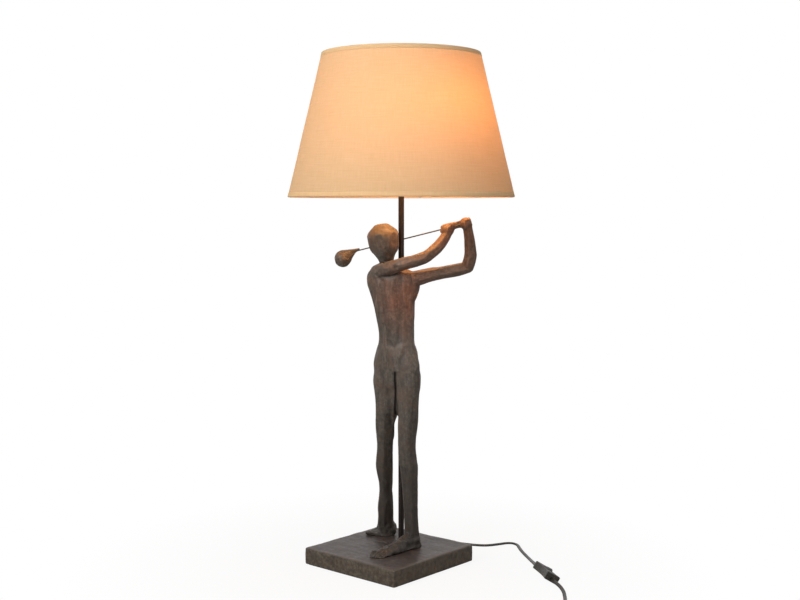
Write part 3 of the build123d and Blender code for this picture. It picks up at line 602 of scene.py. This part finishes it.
def long_planes(mesh, used, rng):
    """Centres and directions of the planes that run along the limbs, set out from their spines."""
    bm = bmesh.new()
    bm.from_mesh(mesh)
    skin = BVHTree.FromBMesh(bm)
    found = []
    for name in used:
        count, ridge = limb_planes.get(name, (0, 0))
        upper = upward if "arm" in name and name != "left_forearm" else 0.0
        cant = rng.uniform(-plane_cant, plane_cant, max(count, 1))
        for a, b in zip(spines[name], spines[name][1:]):
            a, b = Vector(a), Vector(b)
            run = (b - a).normalized()
            faced = towards + Vector((0, 0, upper))
            faced = (faced - faced.dot(run) * run).normalized()
            beside = run.cross(faced) * (1 if run.z < 0.5 else -1)
            steps = max(1, round((b - a).length / plane_step))
            for k in range(steps):
                for i in range(count):
                    share = (k + 0.5 + rng.uniform(-shift_along, shift_along)) / steps
                    turned = ridge + (i + 0.5) * 360 / count + cant[i]
                    angle = math.radians(turned + rng.uniform(-shift_round, shift_round))
                    out = faced * math.cos(angle) - beside * math.sin(angle)
                    spot, normal, _, _ = skin.ray_cast((a + (b - a) * share) * MM, out)
                    if spot:
                        found.append((spot / MM, (out * out_share + normal).normalized(), run))
    bm.free()
    return found


def carve(mesh, used, seed, width=plane_w, length=plane_l, depth=0.5, reach=0.9, other=0.35):
    """Cuts the skin into planes, as a gouge does, and adds the gouge's fine marks.

    Planes lie depth under the skin and move it by reach at most. Those that fill the space
    between the limbs' long planes do so with the force other.
    """
    spots, normals = read_points(mesh)
    way = grain_of(spots, used)
    rng = np.random.default_rng(seed)
    centres, facing, runs, force = [], [], [], []
    for spot, normal, run in long_planes(mesh, used, rng):
        centres.append(np.array(spot))
        facing.append(np.array(normal))
        runs.append(np.array(run))
        force.append(1.0)
    for i in rng.permutation(len(spots)):
        if centres:
            gap = spots[i] - np.array(centres)
            along = (gap * np.array(runs)).sum(1)
            far = ((gap ** 2).sum(1) - along ** 2) / width ** 2 + along ** 2 / length ** 2
            far += (1 - np.array(facing) @ normals[i]) * turn_cost
            if far.min() < plane_gap:
                continue
        centres.append(spots[i])
        facing.append(normals[i])
        runs.append(way[i])
        force.append(other)
    centres, facing = np.array(centres), np.array(facing)
    runs, force = np.array(runs), np.array(force)
    moved = spots.copy()
    for start in range(0, len(spots), batch):
        part = slice(start, start + batch)
        gap = spots[part, None, :] - centres[None]
        along = (gap * runs[None]).sum(2)
        far = ((gap ** 2).sum(2) - along ** 2) / width ** 2 + along ** 2 / length ** 2
        far += (1 - normals[part] @ facing.T) * turn_cost
        weight = np.exp(-(far - far.min(1, keepdims=True)) / plane_blend)
        weight /= weight.sum(1, keepdims=True)
        height = np.clip((gap * facing[None]).sum(2) + depth, -reach, reach)
        push = (weight * height * force)[:, :, None] * facing[None]
        moved[part] -= push.sum(1)
    across = moved - (moved * way).sum(1, keepdims=True) * way
    grain = across / mark_w + (moved * way).sum(1, keepdims=True) * way / mark_l
    fine = np.array([noise.noise(Vector(g)) for g in grain])
    broad = np.array([noise.noise(Vector(p) / lump_size + lump_seed) for p in moved])
    lumps = np.where(moved[:, 2] < feet_top, foot_lumps, limb_lumps)
    moved += normals * (mark_depth * fine + lumps * broad)[:, None]
    write_points(mesh, moved)
    layer = mesh.attributes.new("grain", "FLOAT_VECTOR", "POINT")
    layer.data.foreach_set("vector", grain.astype(np.float32).ravel())


def furrow(mesh, line, width, depth, way):
    """Presses a narrow groove into the skin along a line of points, in mm."""
    spots, _ = read_points(mesh)
    nearest = np.full(len(spots), 1e9)
    for a, b in zip(line, line[1:]):
        a, b = np.array(a, float), np.array(b, float)
        run = b - a
        share = np.clip((spots - a) @ run / (run @ run), 0, 1)
        nearest = np.minimum(nearest, np.linalg.norm(spots - a - share[:, None] * run, axis=1))
    spots += np.exp(-(nearest / width) ** 2)[:, None] * depth * np.array(way, float)
    write_points(mesh, spots)


def rub_of(mesh, rounds=40, scale=1.6):
    """Writes how far each point stands proud of its surroundings, for the paint's wear."""
    spots, normals = read_points(mesh)
    ends = np.empty(len(mesh.edges) * 2, dtype=np.int64)
    mesh.edges.foreach_get("vertices", ends)
    ends = ends.reshape(-1, 2)
    around_it = np.bincount(ends.ravel(), minlength=len(spots)).clip(1)[:, None]
    even = spots.copy()
    for _ in range(rounds):
        total = np.zeros_like(even)
        for axis in range(3):
            total[:, axis] = (np.bincount(ends[:, 0], even[ends[:, 1], axis], len(spots))
                              + np.bincount(ends[:, 1], even[ends[:, 0], axis], len(spots)))
        even = total / around_it
    proud = ((spots - even) * normals).sum(1)
    layer = mesh.attributes.new("rub", "FLOAT", "POINT")
    layer.data.foreach_set("value", ((proud - np.median(proud)) / scale).astype(np.float32))


def solid_of(bm, points):
    """Adds the closed solid that spans the points, in mm."""
    verts = [bm.verts.new(mm(*p)) for p in points]
    made = bmesh.ops.convex_hull(bm, input=verts)
    inside = [v for v in made["geom_interior"] if isinstance(v, bmesh.types.BMVert)]
    bmesh.ops.delete(bm, geom=inside, context="VERTS")


def toe(bm, tip, heel_way, length, r):
    """A blunt toe that lies on the plinth, rounded at its tip."""
    way = Vector(heel_way).normalized()
    made = bmesh.ops.create_uvsphere(bm, u_segments=16, v_segments=10, radius=1.0)
    turn = way.to_track_quat("Z", "Y").to_matrix().to_4x4()
    size = Matrix.Diagonal((r * MM, r * MM, length * MM, 1))
    place = Matrix.Translation(Vector(tip) * MM) @ turn @ size
    bmesh.ops.transform(bm, matrix=place, verts=made["verts"])


bm = welded(["figure_body", "figure_head", "figure_right_arm", "figure_left_arm"])
toes = [  # tip, way to the heel, half length and radius
    ((19.0, -54.5, 30.8), (0.05, 1, 0.1), 9.5, 4.0), ((25.2, -56.0, 30.2), (0.05, 1, 0.1), 8.5,
                                                      3.2),
    ((30.4, -53.5, 29.9), (0, 1, 0.1), 8, 3.0), ((34.6, -49.5, 29.7), (-0.1, 1, 0.1), 7.5, 2.8),
    ((37.6, -44.5, 29.5), (-0.2, 1, 0.1), 7, 2.7),
    ((-64.5, 26.0, 30.6), (0.8, 0.5, 0.1), 8.5, 3.8), ((-68.0, 30.0, 30.0), (0.8, 0.5, 0.1), 7,
                                                       3.0),
    ((-68.5, 34.2, 29.8), (0.8, 0.5, 0.1), 7, 2.8), ((-66.8, 38.2, 29.6), (0.8, 0.4, 0.1), 6.5,
                                                     2.7),
    ((-63.5, 41.8, 29.4), (0.8, 0.3, 0.1), 6, 2.6)]
for tip, way, length, r in toes:
    toe(bm, tip, way, length, r)

# Hands, as the photograph outlines them: mm to its right and up from each fist's middle. Slices
# give the way towards the photograph and the outline's size there.
left_fist, right_fist = Vector((94.2, 72.2, 524)), Vector((65.6, 57.6, 512))
left_hand = [(2.2, 11.6), (6.2, 6.5), (8.8, 0), (7.5, -6), (-6, -6), (-15.5, 0.5), (-15, 4.5),
             (-5, 8)]
right_hand = [(-10.8, 1.2), (-9.2, 6.2), (-3, 9.2), (6.5, 12.2), (13.5, 10.6), (12, 4), (3, -7),
              (-5.5, -5.8)]
hand_slices = [(-7.5, 0.5), (-3, 1), (1, 1), (7, 0.5)]
hand_lean = 0.2
for middle, outline in ((left_fist, left_hand), (right_fist, right_hand)):
    solid_of(bm, [middle + right * a * size + Vector((0, 0, b * size))
                  + towards * (t - hand_lean * b) for a, b in outline for t, size in hand_slices])
# Fills the casting's own crease, which the carver's one replaces further to its left hand side.
solid_of(bm, [(-13, 10, 304), (1, 10, 304), (-13, 12.5, 280), (1, 12.5, 280), (-11, 16.5, 264),
              (-1, 16.5, 264), (-9, 22, 254), (-4, 22, 254), (-12, 30, 304), (0, 30, 304),
              (-8, 30, 254), (-4, 30, 254)])
# Joins the thighs down to where the photograph shows the gap between them open.
solid_of(bm, [(-18, 12, 264), (7.2, 12, 264), (-18, 38, 264), (7.2, 38, 264), (-16, 14.5, 252),
              (5.5, 14, 252), (-15.5, 18, 241), (3, 17, 241), (-16, 35, 241), (3, 35, 241),
              (-16, 22, 231), (2.3, 21, 231)])
# The gap's top is an arch, so each thigh gets a wedge that runs out down its inner side.
for outer, inner in ((-17, -6.6), (3, -7)):
    halfway = (outer + inner) / 2
    solid_of(bm, [(outer, 22, 232), (inner, 22, 232), (outer, 33, 232), (inner, 33, 232),
                  (halfway, 25, 225), (halfway, 29, 225), (outer, 26, 206), (outer, 29, 206)])
# Rounds out the hips where the thighs start.
for x, inner in ((-49.6, -35), (36.6, 20)):
    solid_of(bm, [(x, 20, 300), (x, 30, 300), (x + 0.2, 20, 284), (x - 0.3, 32, 284),
                  (x * 0.97, 20, 258), (x * 0.97, 31, 258), (inner, 25, 300), (inner, 25, 258)])

hips = [(-24, 24, 292), (10, 24, 292)]
shoulders = [(16, 30, 445), (-33, 14, 444)]
golfer_mesh = remeshed(bm, "golfer", voxel=1.25)
softened(golfer_mesh, hips + [(-22, 24, 268), (8, 24, 268), (-6, 24, 245)], reach=36, rounds=40)
softened(golfer_mesh, shoulders, reach=26, rounds=14)
softened(golfer_mesh, [left_fist, right_fist], reach=15, rounds=7)
carve(golfer_mesh, [n for n in spines if n != "club"], seed=11)
softened(golfer_mesh, hips + [(-22, 24, 262), (8, 24, 262), (-6, 24, 240)], reach=34, rounds=24)
between_thighs = [(6.5, 6.4, 296), (5.1, 8.4, 285), (2.8, 11.7, 270), (1.2, 13.5, 256),
                  (-2.4, 17.5, 241), (-5.9, 21.5, 231), (-9, 25, 220)]
furrow(golfer_mesh, between_thighs, width=2.2, depth=5.0, way=(-0.57, 0.82, 0))
for x, y in ((21.8, -60), (27.4, -58), (32.0, -54), (35.8, -49)):
    between_toes = [(x, y - 5, 30), (x, y, 35), (x + 0.5, y + 9, 37)]
    furrow(golfer_mesh, between_toes, width=2.2, depth=4.0, way=(0, 0.1, -1))
rub_of(golfer_mesh)
golfer = piece("golfer", golfer_mesh, carved_resin)
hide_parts("figure_body", "figure_head", "figure_right_arm", "figure_left_arm")

club_mesh = remeshed(welded(["club_head"]), "golf_club_head", voxel=0.7)
carve(club_mesh, ["club"], seed=5, width=11, length=14, depth=0.35, reach=0.7, other=0.7)
rub_of(club_mesh)
club_head = piece("golf_club_head", club_mesh, carved_resin)
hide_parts("club_head")

# ------------------------------------------------------------------ plinth
axis_x, axis_y = -14.0, 44.0
recess_r = 33                # round the pipe's nut, where the skin stays as it is
underside = 2.2
level_loss = 0.25            # keeps the uneven skin inside the casting's own size
stroke = Vector((1 / 34, 1 / 8, 1 / 8))
plinth_mesh = remeshed(welded(["base_plinth"]), "plinth_casting", voxel=1.7)
spots, normals = read_points(plinth_mesh)
uneven = np.array([noise.noise(Vector(p) / 26) * 0.7 + noise.noise(Vector(p) / 6) * 0.16
                   + noise.noise(Vector(p) * stroke) * 0.3 for p in spots])
off_axis = np.hypot(spots[:, 0] - axis_x, spots[:, 1] - axis_y)
plain = (off_axis < recess_r) | (spots[:, 2] < underside)
write_points(plinth_mesh, spots + normals * ((uneven - level_loss) * ~plain)[:, None])
rub_of(plinth_mesh)
plinth = piece("plinth_casting", plinth_mesh, brushed_resin)
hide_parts("base_plinth")

# ------------------------------------------------------------------ shade
shade_bottom, shade_high = 566.0, 219.0
bottom_r, top_r = 175.0, 122.0
mean_r = 0.149               # metres, for the width of the cloth map
slant = math.hypot(bottom_r - top_r, shade_high)
slope_in, slope_up = (bottom_r - top_r) / slant, shade_high / slant
seam_at, lap = math.radians(139), math.radians(2.6)
lap_lift = 0.45              # how far the seam's upper end lies over its lower one


def on_slope(along, depth):
    """Radius and height of a point so far up the slope and so far in from it."""
    r = bottom_r - slope_in * along - slope_up * depth
    return r, shade_bottom + slope_up * along - slope_in * depth


def around(profile, count, name, start=0.0, sweep=2 * math.pi, wobble=0.0):
    """Turns a profile of (along, depth) round the lamp's axis, with a cloth map in metres."""
    bm = bmesh.new()
    cloth = bm.loops.layers.uv.new("cloth")
    whole = abs(sweep - 2 * math.pi) < 1e-6
    steps = count if whole else count + 1
    rows = []
    for i in range(steps):
        angle = start + sweep * i / count
        row = []
        for along, depth in profile:
            lifted = depth - (lap_lift * i / count if not whole else 0)
            r, z = on_slope(along, lifted)
            east, north = math.cos(angle), math.sin(angle)
            r += wobble * noise.noise(Vector((east * 2, north * 2, along / 40)))
            row.append(bm.verts.new(mm(axis_x + r * east, axis_y + r * north, z)))
        rows.append(row)
    closed = profile[0] == profile[-1]
    for i in range(count):
        here, there = rows[i], rows[(i + 1) % steps]
        for j in range(len(profile) - 1):
            k = 0 if closed and j == len(profile) - 2 else j + 1
            corners = [here[j], there[j], there[k], here[k]]
            face = bm.faces.new(corners)
            for loop, (a, b) in zip(face.loops, [(i, j), (i + 1, j), (i + 1, j + 1), (i, j + 1)]):
                loop[cloth].uv = (start + sweep * a / count * mean_r,
                                  profile[b][0] * MM + 0.003 * b)
    return from_bmesh(bm, name)


cloth_rows, cloth_steps = 36, 240
rows = [(slant * i / cloth_rows, 0.0) for i in range(cloth_rows + 1)]
cloth_mesh = around(rows, cloth_steps, "linen_shade", start=seam_at, sweep=2 * math.pi + lap,
                    wobble=0.25)
linen_shade = piece("linen_shade", cloth_mesh, shade_linen)
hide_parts("shade_fabric")


def tape(edge, inwards, name):
    """Tape folded over a rim: down the outside, round the edge and up behind the wire ring."""
    line = [(6.8, -0.15), (6.6, -0.42), (4.5, -0.55), (2.0, -0.6), (0.6, -0.55), (-0.15, -0.3),
            (-0.45, 0.4), (-0.5, 1.6), (-0.4, 3.0), (0.1, 3.9), (0.4, 3.8), (0.0, 2.9), (-0.1, 1.6),
            (0.0, 0.5), (0.4, -0.05), (6.8, -0.15)]
    profile = [(edge + inwards * along, depth) for along, depth in line]
    mesh = around(profile, cloth_steps, name, wobble=0.12)
    if inwards < 0:
        mesh.flip_normals()
    # The tape's colour has the lamp's glow painted into it.
    made = piece(name, mesh, glow_tinted_tape)
    return made


low_tape = tape(0, 1, "bottom_rim_tape")
high_tape = tape(slant, -1, "top_rim_tape")
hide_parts("shade_bottom_trim")
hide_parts("shade_top_trim")

# ------------------------------------------------------------------ finishes of the CAD parts
finishes = {
    "base_felt": wool_felt, "pole_tube": painted_pipe, "pole_nut": zinc_steel,
    "pole_washer": zinc_steel, "club_shaft": drawn_wire, "holder_cap": black_phenolic,
    "holder_skirt": black_phenolic, "clamp_ring": black_phenolic, "holder_core": glazed_porcelain,
    "holder_contacts": yellow_brass, "bulb_glass": milk_glass, "bulb_cap": nickel_brass,
    "bulb_contact": nickel_brass, "shade_hub": white_enamel, "shade_arms": white_enamel,
    "shade_bottom_ring": white_enamel, "shade_top_ring": white_enamel, "cord_relief": black_pvc,
    "switch_upper_shell": spark_abs, "switch_lower_shell": spark_abs, "switch_rocker": gloss_abs,
    "switch_terminals": yellow_brass, "switch_screws": zinc_steel, "plug_body": black_pvc,
    "plug_pins": nickel_brass,
}
for name, finish in finishes.items():
    slots = nodes[name].data.materials
    slots.clear()
    slots.append(finish)

# Flex inside the lamp, from the sleeve up the pipe to the lampholder.
inner_flex = piece("inner_flex", from_bmesh(welded(["inner_cord"]), "inner_flex"), black_pvc)
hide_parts("inner_cord")

# ------------------------------------------------------------------ stage and light
bm = bmesh.new()
bmesh.ops.create_grid(bm, x_segments=1, y_segments=1, size=6.0)
floor = bpy.data.objects.new("floor", from_bmesh(bm, "floor"))
scene.collection.objects.link(floor)
# Matt white paint: takes the lamp's shadow close to it, and fades to the white of the photograph.
floor_paint, tree = material("matt_white_paint")
seen = add(tree, "ShaderNodeLightPath").outputs
place = add(tree, "ShaderNodeTexCoord").outputs["Object"]
away = add(tree, "ShaderNodeVectorMath", {0: place}, operation="LENGTH")
fade = add(tree, "ShaderNodeMapRange", {"Value": away.outputs["Value"], "From Min": 0.12,
                                        "From Max": 0.5, "To Min": 0.9, "To Max": 1.0})
shown = add(tree, "ShaderNodeMath", {0: seen["Is Camera Ray"], 1: fade}, operation="MULTIPLY")
matt = add(tree, "ShaderNodeBsdfDiffuse", {"Color": (0.7, 0.7, 0.7, 1)})
white = add(tree, "ShaderNodeEmission", {"Color": (1, 1, 1, 1), "Strength": 1.0})
shade_with(tree, add(tree, "ShaderNodeMixShader", {0: shown, 1: matt, 2: white}))
floor.data.materials.append(floor_paint)

world = bpy.data.worlds.new("studio")
scene.world = world
world.use_nodes = True
# A white backdrop to look at, and a dimmer one that lights the lamp.
sky = world.node_tree
sky.nodes.clear()
seen = add(sky, "ShaderNodeLightPath").outputs
direct = add(sky, "ShaderNodeMath", {0: seen["Is Camera Ray"], 1: seen["Is Glossy Ray"]},
             operation="MAXIMUM")
clear = add(sky, "ShaderNodeMath", {0: direct, 1: seen["Is Transmission Ray"]}, operation="MAXIMUM")
level = add(sky, "ShaderNodeMapRange", {"Value": clear, "To Min": 0.24, "To Max": 1.0})
backdrop = add(sky, "ShaderNodeBackground", {"Color": (1, 1, 1, 1), "Strength": level})
add(sky, "ShaderNodeOutputWorld", {"Surface": backdrop})


def lamp_light(name, kind, place, aim, watts, colour, size):
    """A light in metres that the camera doesn't see."""
    data = bpy.data.lights.new(name, kind)
    data.energy = watts
    data.color = colour
    if kind == "AREA":
        data.size = size
    else:
        data.shadow_soft_size = size
    made = bpy.data.objects.new(name, data)
    made.location = place
    made.rotation_euler = (Vector(aim) - Vector(place)).to_track_quat("-Z", "Y").to_euler()
    made.visible_camera = False
    scene.collection.objects.link(made)
    return made


middle = Vector((0, 0, 0.4))
shade_height = 760
warm_light, lining_light = (1.0, 0.5, 0.2), (1.0, 0.47, 0.15)
key_place = middle - right * 1.25 + towards * 1.35 + Vector((0, 0, 1.15))
lamp_light("softbox", "AREA", key_place, middle, 40, (1.0, 0.985, 0.96), 1.3)
fill_place = middle + right * 1.3 + towards * 1.6 + Vector((0, 0, 0.9))
fill = lamp_light("fill", "AREA", fill_place, mm(0, 0, shade_height), 0.75, (0.97, 0.98, 1.0), 0.7)
fill.data.spread = math.radians(40)
# The bulb's light comes from beside it, where the photograph has the shade's bright patch.
glow_place = mm(axis_x, axis_y, 692) + right * 0.046 + towards * 0.045
lamp_light("filament_glow", "POINT", glow_place, middle, 2.4, warm_light, 0.03)
low_glow_place = mm(axis_x, axis_y, 640) + towards * 0.05
lamp_light("bulb_glow", "POINT", low_glow_place, middle, 0.7, warm_light, 0.03)
# What the shade's pale lining throws down on the figure, from the whole of its open bottom.
mouth = mm(axis_x, axis_y, shade_bottom + 4)
below = mouth - Vector((0, 0, 1))
lining_glow = lamp_light("lining_glow", "AREA", mouth, below, 0.4, lining_light, 0.29)
lining_glow.data.shape = "DISK"
